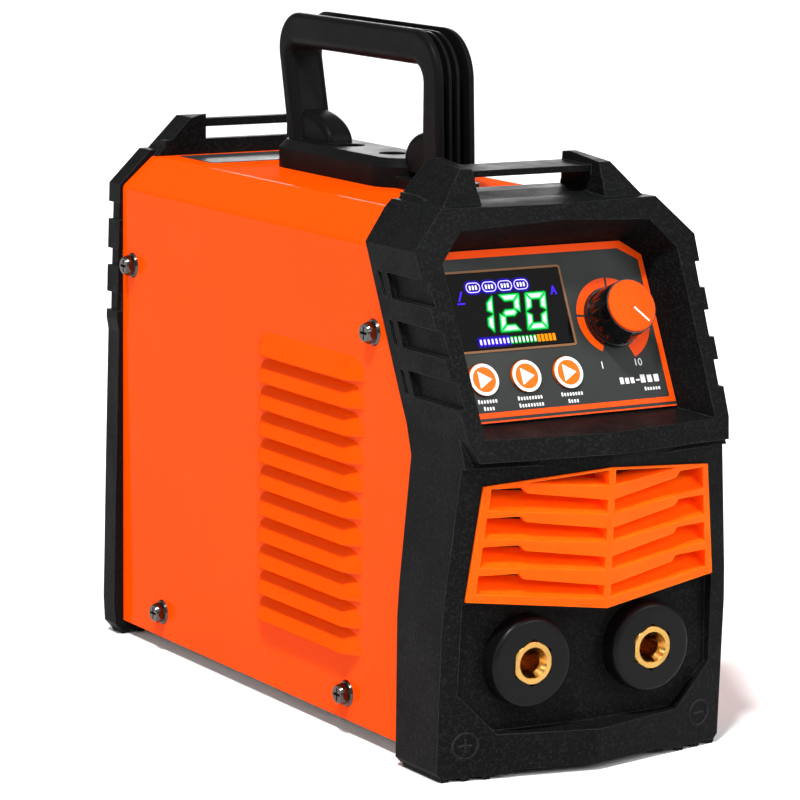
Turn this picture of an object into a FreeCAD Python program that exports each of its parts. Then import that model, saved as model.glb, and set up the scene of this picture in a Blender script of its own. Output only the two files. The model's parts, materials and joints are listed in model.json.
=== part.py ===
import FreeCAD, Part
import math
import os

# Stick welding inverter, millimetres.
# +Z up, front (control panel and output sockets) towards -Y, X across the case.
# The origin is under the middle of the machine, on the surface that it stands on.

V = FreeCAD.Vector
X_AXIS = V(1, 0, 0)
Y_AXIS = V(0, 1, 0)
Z_AXIS = V(0, 0, 1)
ORIGIN = V(0, 0, 0)

# ---------------------------------------------------------------- driving dimensions
CASE_HALF = 59.9          # outside of the sheet cover, from the middle plane
CASE_BOTTOM = 6.4
CASE_KNEE = 202.3         # where the sloping upper edges start
CASE_TOP_HALF = 45.2
CASE_TOP = 215.0
CASE_REAR = 139.6
SHEET = 1.0
BEND_RADIUS = 2.2

MOULD_REAR_LOW = -110.5   # joint line between front moulding and cover, lower vertical run
MOULD_KNEE = 123.5        # height where that joint line starts to lean back
WALL = 2.6

FRAME_LEAN = 0.48         # the bumper frame leans back this much per mm of height
FRAME_VEE = 0.12          # and its two halves sweep back from the middle crease
FRAME_FOOT = -224.41
LOWER_LEAN = -0.043
LOWER_VEE = 0.2
LOWER_FOOT = -154.42

SOCKET_FLOOR = -141.0     # flat recess that carries the output sockets
SOCKET_X = 27.9
SOCKET_Z = 45.4
BORE_RADIUS = 4.6
BORE_LENGTH = 24.0

PANEL_ANGLE = math.degrees(math.atan(FRAME_LEAN))
PANEL_ORIGIN = V(0, -132.38, 137.7)   # middle of the overlay's lower edge
PANEL_HALF = 49.5
PANEL_HEIGHT = 70.4
OVERLAY = 1.5
FLOOR = 2.5
DISPLAY = (-45.2, 8.1, 29.45, 60.95)  # left, right, bottom, top on the overlay
BUTTON_V = 17.8
BUTTON_X = (-37.4, -17.9, 1.6)
BUTTON_NAMES = ("mode", "electrode", "function")
BUTTON_RADIUS = 6.4
BUTTON_GAP = 0.35
KNOB_X = 28.0
KNOB_V = 38.4
KNOB_HEIGHT = 16.0
POINTER_ANGLE = -48.0     # the knob's white line, from the panel's +X direction

LOUVRES = 11
LOUVRE_PITCH = 11.16
LOUVRE_FIRST = 146.6      # lip of the highest louvre
LOUVRE_FRONT = -72.5
LOUVRE_REAR = 14.5
LOUVRE_HEIGHT = 9.2
LOUVRE_PROUD = 5.0

SCREWS = ((-79.2, 167.6), (130.3, 168.2), (-60.6, 17.4), (101.6, 17.8))

FAN_Z = 80.0
FAN_SIDE = 92.0
FAN_REAR = 144.0          # fan frame's rear face, against the rear panel
FAN_DEPTH = 25.0
WALL_FRONT = 144.0        # rear moulding: inner and outer faces of its panel
WALL_REAR = 147.0
RIM_REAR = 150.0
TOP_FRONT = 136.0         # its guard bar starts here, above the cover
SWITCH_CENTRE = V(-27.0, 0, 176.0)
GLAND_CENTRE = V(29.0, 0, 174.0)


# ---------------------------------------------------------------- small helpers
def box(x0, x1, y0, y1, z0, z1):
    return Part.makeBox(x1 - x0, y1 - y0, z1 - z0, V(x0, y0, z0))


def face(points):
    return Part.Face(Part.makePolygon(points + [points[0]]))


def prism_x(points, x0, x1):
    """Polygon of (y, z) points, pulled along X."""
    return face([V(x0, y, z) for y, z in points]).extrude(V(x1 - x0, 0, 0))


def prism_y(points, y0, y1):
    """Polygon of (x, z) points, pulled along Y."""
    return face([V(x, y0, z) for x, z in points]).extrude(V(0, y1 - y0, 0))


def prism_z(points, z0, z1):
    """Polygon of (x, y) points, pulled along Z."""
    return face([V(x, y, z0) for x, y in points]).extrude(V(0, 0, z1 - z0))


def cylinder(base, axis, radius, length):
    return Part.makeCylinder(radius, length, base, axis)


def cone(base, axis, r0, r1, length):
    return Part.makeCone(r0, r1, length, base, axis)


def hexagon(base, axis, across_flats, length, turn=0):
    """Hexagonal bar along an axis, turned about it in degrees."""
    radius = across_flats / math.sqrt(3)
    angles = [math.radians(60 * i + turn) for i in range(6)]
    ring = [(radius * math.cos(a), radius * math.sin(a)) for a in angles]
    bar = face([V(u, v, 0) for u, v in ring]).extrude(V(0, 0, length))
    bar.Placement = FreeCAD.Placement(base, FreeCAD.Rotation(Z_AXIS, axis))
    return bar


def mirror(shape):
    return shape.mirror(ORIGIN, X_AXIS)


def fuse(shapes):
    shapes = list(shapes)
    if len(shapes) == 1:
        return shapes[0]
    return shapes[0].fuse(shapes[1:]).removeSplitter()


def cut(shape, tools):
    tools = list(tools)
    return shape.cut(tools) if tools else shape


def whole(half):
    """A symmetric solid from its right half."""
    return half.fuse(mirror(half)).removeSplitter()


def rounded(points, radii):
    """Closed wire through 2-D corners (u, v), each rounded to its radius, in the XY plane."""
    edges = []
    count = len(points)
    starts = []
    ends = []
    arcs = []
    for i in range(count):
        corner = V(points[i][0], points[i][1], 0)
        before = V(points[i - 1][0], points[i - 1][1], 0) - corner
        after = V(points[(i + 1) % count][0], points[(i + 1) % count][1], 0) - corner
        before.normalize()
        after.normalize()
        if radii[i] == 0:
            starts.append(corner)
            ends.append(corner)
            arcs.append(None)
            continue
        half_angle = before.getAngle(after) / 2
        reach = radii[i] / math.tan(half_angle)
        bisector = before + after
        bisector.normalize()
        centre = corner + bisector * (radii[i] / math.sin(half_angle))
        starts.append(corner + before * reach)
        ends.append(corner + after * reach)
        arcs.append(centre - bisector * radii[i])
    for i in range(count):
        if arcs[i] is not None:
            edges.append(Part.Arc(starts[i], arcs[i], ends[i]).toShape())
        nxt = starts[(i + 1) % count]
        if (nxt - ends[i]).Length > 1e-6:
            edges.append(Part.LineSegment(ends[i], nxt).toShape())
    return Part.Wire(edges)


def rounded_prism(points, radii, length, placement):
    """A rounded polygon pulled along its local Z and placed."""
    solid = Part.Face(rounded(points, radii)).extrude(V(0, 0, length))
    solid.Placement = placement
    return solid


def along_x(x0):
    """Local (u, v) become (y, z), pulled along +X from x0."""
    matrix = FreeCAD.Matrix(0, 0, 1, x0, 1, 0, 0, 0, 0, 1, 0, 0, 0, 0, 0, 1)
    return FreeCAD.Placement(matrix)


def along_y(y0):
    """Local (u, v) become (x, z), pulled along -Y from y0."""
    return FreeCAD.Placement(V(0, y0, 0), FreeCAD.Rotation(X_AXIS, 90))


def along_z(z0):
    return FreeCAD.Placement(V(0, 0, z0), FreeCAD.Rotation())


def on_surface(height, points, shift):
    """Points (x, z) laid on the leaning half plane y = height(x, z), moved by shift along Y."""
    return [V(x, height(x, z) + shift, z) for x, z in points]


def leaning(height, points, shift, depth):
    """Right-half solid whose front lies on a leaning plane."""
    return face(on_surface(height, points, shift)).extrude(V(0, depth, 0))


def frame_plane(x, z):
    return FRAME_FOOT + FRAME_LEAN * z + FRAME_VEE * x


def lower_plane(x, z):
    return LOWER_FOOT + LOWER_LEAN * z + LOWER_VEE * x


def panel_place(shape):
    """Move a shape from panel coordinates (x, v up the panel, n outward) to the machine."""
    onto_panel = FreeCAD.Placement(PANEL_ORIGIN, FreeCAD.Rotation(X_AXIS, 90 - PANEL_ANGLE))
    shape.Placement = onto_panel.multiply(shape.Placement)
    return shape


def export(name, shape):
    shape.exportStep("parts/%s.step" % name)


# ---------------------------------------------------------------- joint line and cover
def joint_line(shift):
    """Side view region in front of the line where the front moulding meets the cover."""
    run = [(MOULD_REAR_LOW, -5), (MOULD_REAR_LOW, MOULD_KNEE), (-81.5, 204.0), (-75.2, 216.5), (-75.2, 240)]
    return [(-210, -5)] + [(y + shift, z) for y, z in run] + [(-210, 240)]


def front_region(shift, x0=-90, x1=90):
    return prism_x(joint_line(shift), x0, x1)


def cover_outline(inset):
    half = CASE_HALF - inset
    knee = CASE_KNEE - inset * 0.41
    top_half = CASE_TOP_HALF - inset * 0.37
    top = CASE_TOP - inset
    right = [(half, CASE_BOTTOM - (5 if inset else 0)), (half, knee), (top_half, top)]
    return right + [(-x, z) for x, z in reversed(right)]


def cover_bar(inset, y0, y1):
    radii = [0, BEND_RADIUS + 1 - inset, BEND_RADIUS + 1 - inset, BEND_RADIUS + 1 - inset, BEND_RADIUS + 1 - inset, 0]
    return rounded_prism(cover_outline(inset), radii, y1 - y0, along_y(y1))


def louvre(lip, base, proud, height, front, rear):
    """Pressed hood on the right side: slopes out down to its open lip, with rounded ends."""
    axis_front = V(0, front + height, lip)
    axis_rear = V(0, rear - height, lip)
    curve = Part.Arc(V(base + proud, front + height, lip),
                     V(base + proud * 0.56, front + height, lip + height * 0.5),
                     V(base, front + height, lip + height)).toShape()
    corners = [V(base, front + height, lip + height), V(base - 2, front + height, lip + height),
               V(base - 2, front + height, lip), V(base + proud, front + height, lip)]
    sides = [Part.LineSegment(p, q).toShape() for p, q in zip(corners, corners[1:])]
    section = Part.Face(Part.Wire([curve] + sides))
    middle = section.extrude(V(0, rear - front - 2 * height, 0))
    front_end = section.revolve(axis_front, X_AXIS, 90)
    moved = section.copy()
    moved.translate(V(0, rear - front - 2 * height, 0))
    rear_end = moved.revolve(axis_rear, X_AXIS, -90)
    return fuse([middle, front_end, rear_end])


def casing_cover():
    sheet = cover_bar(0, -115, CASE_REAR).cut(cover_bar(SHEET, -116, CASE_REAR + 1))
    sheet = sheet.cut(front_region(0))
    hoods = []
    hollows = []
    for i in range(LOUVRES):
        lip = LOUVRE_FIRST - i * LOUVRE_PITCH
        hood = louvre(lip, CASE_HALF, LOUVRE_PROUD, LOUVRE_HEIGHT, LOUVRE_FRONT, LOUVRE_REAR)
        hollow = louvre(lip, CASE_HALF, LOUVRE_PROUD - 0.9, LOUVRE_HEIGHT - 0.9, LOUVRE_FRONT + 0.9, LOUVRE_REAR - 0.9)
        hoods += [hood, mirror(hood)]
        hollows += [hollow, mirror(hollow)]
    sheet = sheet.fuse(hoods)
    holes = hollows
    for y, z in SCREWS:
        holes.append(cylinder(V(-70, y, z), X_AXIS, 2.2, 140))
    for y in HANDLE_SCREWS:
        holes.append(cylinder(V(0, y, 200), Z_AXIS, 2.7, 30))
    return sheet.cut(holes)


def casing_screw(y, z):
    """Hex head screw with a pressed-on flange and a cross recess, driven towards the middle."""
    flange = cone(V(CASE_HALF, y, z), X_AXIS, 5.5, 4.9, 1.0)
    head = hexagon(V(CASE_HALF + 0.8, y, z), X_AXIS, 7.8, 3.8)
    dome = cone(V(CASE_HALF + 0.8, y, z), X_AXIS, 5.4, 3.5, 3.8)
    slot_a = box(CASE_HALF + 3.0, CASE_HALF + 6, y - 2.6, y + 2.6, z - 0.5, z + 0.5)
    slot_b = box(CASE_HALF + 3.0, CASE_HALF + 6, y - 0.5, y + 0.5, z - 2.6, z + 2.6)
    shank = cylinder(V(CASE_HALF - 9, y, z), X_AXIS, 2.0, 10)
    return fuse([flange, head.common(dome), shank]).cut([slot_a, slot_b])


# ---------------------------------------------------------------- front moulding
FRAME_EDGE = [(60.4, 135.8), (61.3, 146.3), (65.3, 204.3), (49.9, 219.6)]
NOTCHES = ((184.0, 193.9), (165.5, 175.6), (147.0, 157.0))
NOTCH_DEPTH = 2.4


def side_width(z):
    """Half width of the bumper's side face at a height."""
    (x0, z0), (x1, z1) = FRAME_EDGE[1], FRAME_EDGE[2]
    return x0 + (x1 - x0) * (z - z0) / (z1 - z0)


def side_notch(z0, z1, depth, width_at):
    """Cross-section of a notch that bites into the right side face."""
    return [(width_at(z0) - depth, z0), (90, z0), (90, z1), (width_at(z1) - depth, z1)]


def recess(grow, floor_level, tip=36.06):
    """Tapered pocket that holds the control panel, in panel coordinates."""
    low = [(49.5, 0.0), (49.5, 63.8), (40.4, 70.4)]
    high = [(57.1, -20.8), (59.9, 57.0), (47.2, 74.6)]

    def ring(points, level):
        grown = [(points[0][0] + grow, points[0][1] - grow), (points[1][0] + grow, points[1][1] + grow * 0.5),
                 (points[2][0] + grow * 0.5, points[2][1] + grow)]
        loop = grown + [(-x, v) for x, v in reversed(grown)]
        return Part.makePolygon([V(x, v, level) for x, v in loop + [loop[0]]])

    return panel_place(Part.makeLoft([ring(low, floor_level), ring(high, tip)], True, True))


def panel_openings(clear):
    """Cutters for the display, buttons and control shaft, through overlay and floor."""
    left, right, low, high = DISPLAY
    tools = [box(left - clear, right + clear, low - clear, high + clear, -8, 4)]
    for x in BUTTON_X:
        tools.append(cylinder(V(x, BUTTON_V, -8), Z_AXIS, BUTTON_RADIUS + BUTTON_GAP, 12))
    tools.append(cylinder(V(KNOB_X, KNOB_V, -8), Z_AXIS, 3.7, 12))
    return [panel_place(t) for t in tools]


def socket_recess():
    """Shallow pocket with cut lower corners, down to the flat socket floor."""
    outline = [(0, 17.0), (42.3, 18.0), (59.0, 35.0), (58.4, 71.0), (0, 75.0)]
    return prism_y(outline, -180, SOCKET_FLOOR)


GRILLE_EDGE = [(0, 122.0), (52.0, 117.2), (57.6, 72.1), (0, 66.1)]
GRILLE_SEAT = [(0, 120.6), (50.8, 115.9), (56.1, 73.3), (0, 67.5)]
GRILLE_INNER = [(0, 122.6), (49.4, 118.0), (54.0, 75.1), (0, 69.6)]


def foot_ridges(y0, y1, centres):
    section = [(-1.9, 3), (-1.9, 0.8), (-1.2, 0), (1.2, 0), (1.9, 0.8), (1.9, 3)]
    return [prism_y([(x + u, z) for u, z in section], y0(x), y1) for x in centres]


def polarity_marks():
    """Raised rings low on the front, with a plus at the left and a minus at the right."""
    def disc(radius, shift):
        angles = [math.radians(10 * i) for i in range(36)]
        loop = [(55 + radius * math.cos(a), 14.3 + radius * math.sin(a)) for a in angles]
        return leaning(lower_plane, loop, shift, 1.4)

    def bar(u, w):
        return leaning(lower_plane, [(55 - u, 14.3 - w), (55 + u, 14.3 - w), (55 + u, 14.3 + w), (55 - u, 14.3 + w)],
                       -0.4, 1.4)

    ring = disc(5.5, -0.4).cut(disc(4.8, -1.0).fuse(disc(4.8, -0.2)))
    return [ring, bar(2.6, 0.35), mirror(ring), mirror(bar(2.6, 0.35)), mirror(bar(0.35, 2.6))]


def guard_prong():
    """Right upstand of the front guard bar: leans with the frame and rises to the rear."""
    upstand = leaning(lambda x, z: -108.5 + FRAME_LEAN * (z - 219.5),
                      [(28.6, 215), (49.9, 216), (32.9, 235.6), (30.0, 235.6)], 0, 60)
    crest = [(-130, 210), (-130, 229.9), (-80, 235.4), (-70, 234.2), (-70, 210)]
    return upstand.common(prism_x(crest, 0, 60))


def front_moulding():
    upper = [(0, 124.0), (60.7, 124.5)] + FRAME_EDGE + [(0, 219.6)]
    frame = [(0, 127.6), (57.6, 127.6)] + FRAME_EDGE + [(0, 219.6)]
    lower = [(0, 3.0), (34, 3.0), (37.5, 1.6), (64.3, 1.6), (66.3, 3.8), (66.3, 60), (65.5, 73.5),
             (60.7, 124.5), (60.6, 127), (0, 127)]
    body = leaning(frame_plane, upper, 7.0, 120).fuse([
        leaning(frame_plane, frame, 0, 14),
        leaning(lower_plane, lower, 0, 120),
        prism_x([(-113, 215), (-113, 219.6), (-98, 220.2), (-87, 222), (-70, 222), (-70, 215)], 0, 46),
        guard_prong(),
        box(0, 30.2, -97, -70, 226, 231.5),
    ])
    body = body.common(front_region(0, 0, 90))

    rim_hollow = cover_bar(SHEET, -140, -60).common(box(0, 90, -141, -59, 8.5, 230))
    wide = [(0, 130.2), (57.6, 130.2), (57.8, 135.8), (58.7, 146.3), (62.6, 203.2), (48.9, 217.0), (0, 217.0)]
    low = [(0, 6.0), (62.0, 6.0), (63.7, 8.0), (63.7, 60), (62.9, 73.5), (58.2, 121.5), (58.2, 124.4), (0, 124.4)]
    hollows = [
        leaning(frame_plane, wide, 3.2, 120).common(front_region(-6, 0, 90)),
        leaning(lower_plane, low, 3.0, 120).common(front_region(-6, 0, 90)).cut(
            box(-1, 90, -170, SOCKET_FLOOR + 2.6, 0, 77)),
        rim_hollow.common(prism_x([(-122, 0), (-122, 124), (-98, 190), (-98, 216), (-60, 216), (-60, 0)], 0, 90)),
    ]
    cup = recess(2.6, -OVERLAY - FLOOR).common(box(0, 90, -200, 0, 100, 219))
    body = body.cut([hollows[0].cut(cup), hollows[1].cut(cup), hollows[2].cut(cup)])

    for z0, z1 in NOTCHES:
        bite = prism_y(side_notch(z0, z1, NOTCH_DEPTH, side_width), -200, -60)
        body = body.cut(bite.common(front_region(-11, 0, 95)))
        middle = (z0 + z1) / 2
        mark = prism_y(side_notch(middle - 4.6, middle + 4.6, 0.9, side_width), -200, -60)
        body = body.cut(mark.common(front_region(-4.5, 0, 95)).cut(front_region(-7.5, 0, 95)))

    slot = rounded_prism([(-29.5, 222.0), (29.5, 222.0), (29.5, 228.9), (-29.5, 228.9)], [2.4] * 4, 50, along_y(-60))
    seat = leaning(lower_plane, GRILLE_SEAT, -20, 40)
    body = body.cut([recess(0, -OVERLAY), socket_recess(), seat, slot.common(box(0, 60, -110, -50, 200, 240))])
    tab = fuse([box(56.4, 58.8, -104, -70, 160, 176), box(56.4, 60.2, -104, -97.5, 160, 176)])
    tab = tab.cut(cylinder(V(50, SCREWS[0][0], SCREWS[0][1]), X_AXIS, 2.05, 12))
    ridges = foot_ridges(lambda x: lower_plane(x, 1.6) + 0.4, -113, (45.5, 54.2, 62.6))
    body = body.fuse([tab] + ridges)
    solid = whole(body).fuse(polarity_marks()).removeSplitter()
    holes = [cylinder(V(sx * SOCKET_X, -150, SOCKET_Z), Y_AXIS, 12.2, 20) for sx in (-1, 1)]
    return solid.cut(panel_openings(0.2) + holes)


# ---------------------------------------------------------------- orange grille
def grille_cells():
    """Openings between the chevron slats, on the right half."""
    cells = [[(35.0, 117.8), (1.4, 121.0), (1.4, 114.8)]]
    for k in range(4):
        top = 116.2 - 11.3 * k
        low = 107.7 - 11.13 * k
        outer_top = 49.2 + 1.3 * k
        outer_low = outer_top + 0.9
        cells.append([(outer_top, top), (36.5, top), (34.4, top - 2.4), (1.4, 109.4 - 11.37 * k),
                      (1.4, 103.5 - 11.2 * k), (outer_low, low)])
    return cells


def front_grille():
    proud = -1.2
    depth = 10.0
    ring = leaning(lower_plane, GRILLE_SEAT, proud, depth).cut(leaning(lower_plane, GRILLE_INNER, proud - 5, depth + 9))
    plate = leaning(lower_plane, GRILLE_SEAT, proud, 2.6)
    flange = leaning(lower_plane, GRILLE_EDGE, proud, -proud)
    rib = leaning(lower_plane, [(0, 68.0), (1.4, 68.0), (1.4, 120.0), (0, 120.0)], proud, depth)
    front = fuse([plate, flange]).cut([leaning(lower_plane, cell, -9, 20) for cell in grille_cells()])
    blades = []
    for k in range(4):
        z_mid = 103.5 - 11.2 * k
        z_out = 107.7 - 11.13 * k
        outer = 50.6 + 1.3 * k
        strip = [(0.7, z_mid), (outer, z_out), (outer, z_out - 1.6), (0.7, z_mid - 1.6)]
        blades.append(face(on_surface(lower_plane, strip, proud)).extrude(V(0, depth, 7.2)))
    top_strip = [(0.7, 114.8), (35, 117.8), (35, 116.2), (0.7, 113.2)]
    blades.append(face(on_surface(lower_plane, top_strip, proud)).extrude(V(0, 7.0, 2.0)))
    keep = leaning(lower_plane, GRILLE_SEAT, proud, depth)
    half = front.fuse([ring, rib] + [b.common(keep) for b in blades])
    return whole(half)


# ---------------------------------------------------------------- control panel
def control_overlay():
    outline = [(49.3, 0.2), (49.3, 63.7), (40.3, 70.2), (-40.3, 70.2), (-49.3, 63.7), (-49.3, 0.2)]
    plate = face([V(x, v, -OVERLAY) for x, v in outline]).extrude(V(0, 0, OVERLAY))
    return panel_place(plate).cut(panel_openings(0))


def display_window():
    left, right, low, high = DISPLAY
    pane = box(left, right, low, high, -OVERLAY, 0.3)
    return panel_place(pane.makeChamfer(0.25, [e for e in pane.Edges if min(v.Z for v in e.Vertexes) > 0.2]))


def display_module():
    left, right, low, high = DISPLAY
    return panel_place(box(left + 1, right - 1, low + 1, high - 1, -11.5, -OVERLAY))


BOARD_TOP = -15.5
BOARD_THICK = 1.6


def control_board():
    board = box(-47, 46, 3, 65, BOARD_TOP - BOARD_THICK, BOARD_TOP)
    holes = [cylinder(V(x, v, -20), Z_AXIS, 1.7, 8) for x in (-43, 42) for v in (7, 61)]
    pins = box(-40, 5, 30, 60, BOARD_TOP, -11.5)
    return panel_place(board.cut(holes).fuse(pins))


def button(x):
    """Round key cap with a retaining collar and a stem, free to sink below the overlay."""
    cap = cylinder(V(x, BUTTON_V, -5.0), Z_AXIS, BUTTON_RADIUS, 6.2)
    top = [e for e in cap.Edges if abs(e.CenterOfMass.z - 1.2) < 1e-3]
    cap = cap.makeFillet(0.6, top)
    collar = cylinder(V(x, BUTTON_V, -6.2), Z_AXIS, BUTTON_RADIUS + 1.3, 1.9)
    stem = cylinder(V(x, BUTTON_V, -9.6), Z_AXIS, 2.0, 4)
    return panel_place(fuse([cap, collar, stem]))


def tact_switches():
    parts = []
    for x in BUTTON_X:
        body = box(x - 3, x + 3, BUTTON_V - 3, BUTTON_V + 3, BOARD_TOP, BOARD_TOP + 3.6)
        plunger = cylinder(V(x, BUTTON_V, BOARD_TOP + 3.6), Z_AXIS, 1.7, 1.1)
        parts.append(panel_place(fuse([body, plunger])))
    return Part.makeCompound(parts)


def potentiometer():
    body = cylinder(V(KNOB_X, KNOB_V, BOARD_TOP), Z_AXIS, 8.2, 9.0)
    lug = box(KNOB_X - 6, KNOB_X + 6, KNOB_V - 13, KNOB_V - 5, BOARD_TOP, BOARD_TOP + 1.5)
    bush = cylinder(V(KNOB_X, KNOB_V, BOARD_TOP + 9), Z_AXIS, 3.5, 9.2)
    bore = cylinder(V(KNOB_X, KNOB_V, BOARD_TOP + 2), Z_AXIS, 3.05, 30)
    return panel_place(fuse([body, lug, bush]).cut(bore))


def potentiometer_nut():
    nut = hexagon(V(KNOB_X, KNOB_V, 0), Z_AXIS, 10.0, 2.0)
    return panel_place(nut.cut(cylinder(V(KNOB_X, KNOB_V, -1), Z_AXIS, 3.5, 5)))


def potentiometer_shaft():
    return panel_place(cylinder(V(KNOB_X, KNOB_V, BOARD_TOP + 2.4), Z_AXIS, 3.0, 24.0))


def knob_body():
    """Skirted knob with finger flutes round its side, hollow over the nut."""
    skirt = cylinder(V(KNOB_X, KNOB_V, 0.5), Z_AXIS, 12.4, 2.0)
    grip = cone(V(KNOB_X, KNOB_V, 2.0), Z_AXIS, 11.9, 11.2, KNOB_HEIGHT - 2.6)
    solid = fuse([skirt, grip])
    flutes = []
    for i in range(18):
        a = math.radians(i * 20 + 10)
        base = V(KNOB_X + 12.9 * math.cos(a), KNOB_V + 12.9 * math.sin(a), 3.4)
        flutes.append(cylinder(base, Z_AXIS, 1.5, KNOB_HEIGHT))
    hollow = cylinder(V(KNOB_X, KNOB_V, 0), Z_AXIS, 7.6, 5.0)
    shaft = cylinder(V(KNOB_X, KNOB_V, 0), Z_AXIS, 3.0, 10.9)
    seat = cylinder(V(KNOB_X, KNOB_V, KNOB_HEIGHT - 1.6), Z_AXIS, 10.6, 3)
    return panel_place(solid.cut(flutes + [hollow, shaft, seat]))


def knob_cap():
    disc = cylinder(V(KNOB_X, KNOB_V, KNOB_HEIGHT - 1.6), Z_AXIS, 10.6, 1.9)
    rim = [e for e in disc.Edges if e.CenterOfMass.z > KNOB_HEIGHT]
    disc = disc.makeFillet(0.5, rim)
    return panel_place(disc.cut(pointer_solid(0.4)))


def pointer_solid(proud):
    """White line let into the knob's cap."""
    bar = box(1.0, 9.2, -0.35, 0.35, KNOB_HEIGHT - 0.5, KNOB_HEIGHT + proud)
    bar.rotate(ORIGIN, Z_AXIS, POINTER_ANGLE)
    bar.translate(V(KNOB_X, KNOB_V, 0))
    return bar


def knob_pointer():
    return panel_place(pointer_solid(0.32))


# ---------------------------------------------------------------- output sockets
def socket_body(x):
    """Insulating bezel with a turned rim and a hexagonal pocket for the brass."""
    rim = cylinder(V(x, SOCKET_FLOOR - 8.5, SOCKET_Z), Y_AXIS, 18.0, 8.5)
    rim = rim.makeFillet(2.2, [e for e in rim.Edges if abs(e.CenterOfMass.y - (SOCKET_FLOOR - 8.5)) < 1e-3])
    neck = cylinder(V(x, SOCKET_FLOOR, SOCKET_Z), Y_AXIS, 12.0, 9.0)
    pocket = hexagon(V(x, SOCKET_FLOOR - 10, SOCKET_Z), Y_AXIS, 16.6, 24, 30)
    return fuse([rim, neck]).cut(pocket)


def socket_insert(x):
    """Brass receptacle: hexagonal body, bored for the plug pin, keyway below, stud behind."""
    front = SOCKET_FLOOR - 8.8
    bar = hexagon(V(x, front, SOCKET_Z), Y_AXIS, 16.4, 28.4, 30)
    nose = cone(V(x, front, SOCKET_Z), Y_AXIS, 8.3, 10.0, 2.3)
    shape = bar.common(fuse([nose, cylinder(V(x, front + 2.3, SOCKET_Z), Y_AXIS, 10.0, 26.2)]))
    stud = cylinder(V(x, front + 27.4, SOCKET_Z), Y_AXIS, 5.0, 17)
    bore = cylinder(V(x, front - 1, SOCKET_Z), Y_AXIS, BORE_RADIUS, BORE_LENGTH + 1)
    lead = cone(V(x, front - 0.01, SOCKET_Z), Y_AXIS, 6.3, BORE_RADIUS, 3.0)
    key = box(x - 1.6, x + 1.6, front + 0.6, front + BORE_LENGTH - 8, SOCKET_Z - 5.9, SOCKET_Z)
    return shape.fuse(stud).removeSplitter().cut([bore, lead, key])


def socket_nuts():
    parts = []
    for x in (-SOCKET_X, SOCKET_X):
        nut = hexagon(V(x, SOCKET_FLOOR + 22.1, SOCKET_Z), Y_AXIS, 16.0, 6.0)
        parts.append(nut.cut(cylinder(V(x, SOCKET_FLOOR + 20, SOCKET_Z), Y_AXIS, 5.0, 12)))
    return Part.makeCompound(parts)


def output_bar(x):
    """Copper strip from the socket's stud down to the power board."""
    y = SOCKET_FLOOR + 19.6
    upright = box(x - 8, x + 8, y, y + 2.5, 33.1, SOCKET_Z + 9)
    foot = box(x - 8, x + 8, y, y + 30, 33.1, 35.1)
    return fuse([upright, foot]).cut(cylinder(V(x, y - 5, SOCKET_Z), Y_AXIS, 5.0, 12))


# ---------------------------------------------------------------- carrying handle
HANDLE_HALF = 9.3
HANDLE_SCREWS = (8.0, 43.0)
BASE_HALF = 16.0
GUSSET_HALF = 6.5
BASE_TOP = 227.0


def handle_profile(inset):
    """Side view of the loop's outside, drawn in by inset."""
    points = [(-44.0 + inset, 214), (-40.8 + inset, 281.3 - inset), (95.2 - inset, 281.3 - inset), (79.5 - inset, 214)]
    return points, [0, max(21 - inset, 4), max(15.5 - inset, 4), 0]


def gusset(y, reach, lift, root):
    """Elliptical buttress that rises from the base to a leg, rooted in both, with rounded side edges."""
    centre = V(-GUSSET_HALF, y, BASE_TOP)
    foot, crest = centre + V(0, reach, 0), centre + V(0, 0, lift)
    curve = Part.ArcOfEllipse(Part.Ellipse(foot, crest, centre), 0, math.pi / 2).toShape()
    sunk = [crest, crest + V(0, root, 0), centre + V(0, root, -5), foot - V(0, 0, 5), foot]
    solid = Part.Face(Part.Wire([curve] + Part.makePolygon(sunk).Edges)).extrude(V(2 * GUSSET_HALF, 0, 0))
    arcs = [e for e in solid.Edges if isinstance(e.Curve, Part.Ellipse)]
    return solid.makeFillet(3.0, arcs)


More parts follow.
